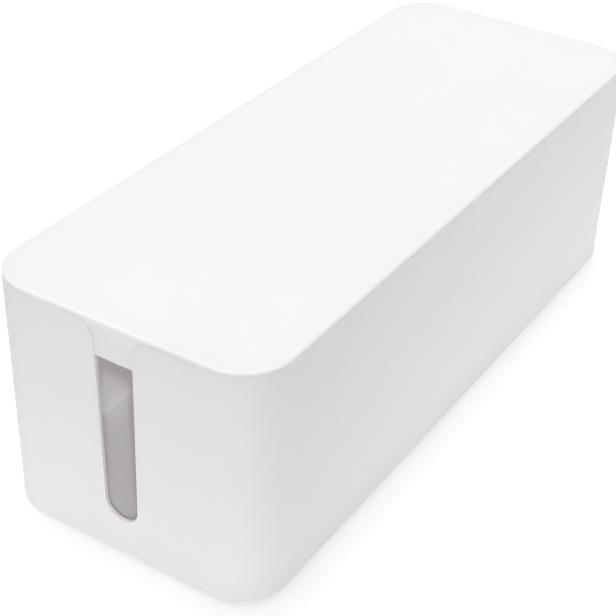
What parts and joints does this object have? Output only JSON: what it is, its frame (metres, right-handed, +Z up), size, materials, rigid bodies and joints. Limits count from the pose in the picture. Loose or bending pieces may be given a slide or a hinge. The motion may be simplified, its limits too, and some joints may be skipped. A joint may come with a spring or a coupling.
{
  "type": "cable management box",
  "caption": "Long rounded box that hides a power strip: a tub with an open cable slot in each end wall, a lift-off lid whose tongues fill the tops of the slots, and rubber feet.",
  "frame": {"origin": "centre of the footprint, on the plane that the feet stand on", "axes": "+X along the box's length, away from the near end; +Y across it, from front to back; +Z up"},
  "size_m": [0.406, 0.156, 0.135],
  "materials": {
    "shell_plastic": "white moulded plastic, satin, with a very fine spark-eroded texture",
    "foot_rubber": "matt dark grey rubber",
    "tape_film": "translucent cream adhesive film"
  },
  "bodies": {
    "tub": {"box_body": "shell_plastic", "foot_near_front": "foot_rubber", "foot_near_back": "foot_rubber", "foot_far_front": "foot_rubber", "foot_far_back": "foot_rubber", "tape_near_front": "tape_film", "tape_near_back": "tape_film", "tape_far_front": "tape_film", "tape_far_back": "tape_film"},
    "cover": {"lid": "shell_plastic"}
  },
  "joints": [
    {"name": "lid_lift", "type": "slide", "parent": "tub", "child": "cover", "axis": [0, 0, 1], "range_m": [0, 0.15]}
  ]
}
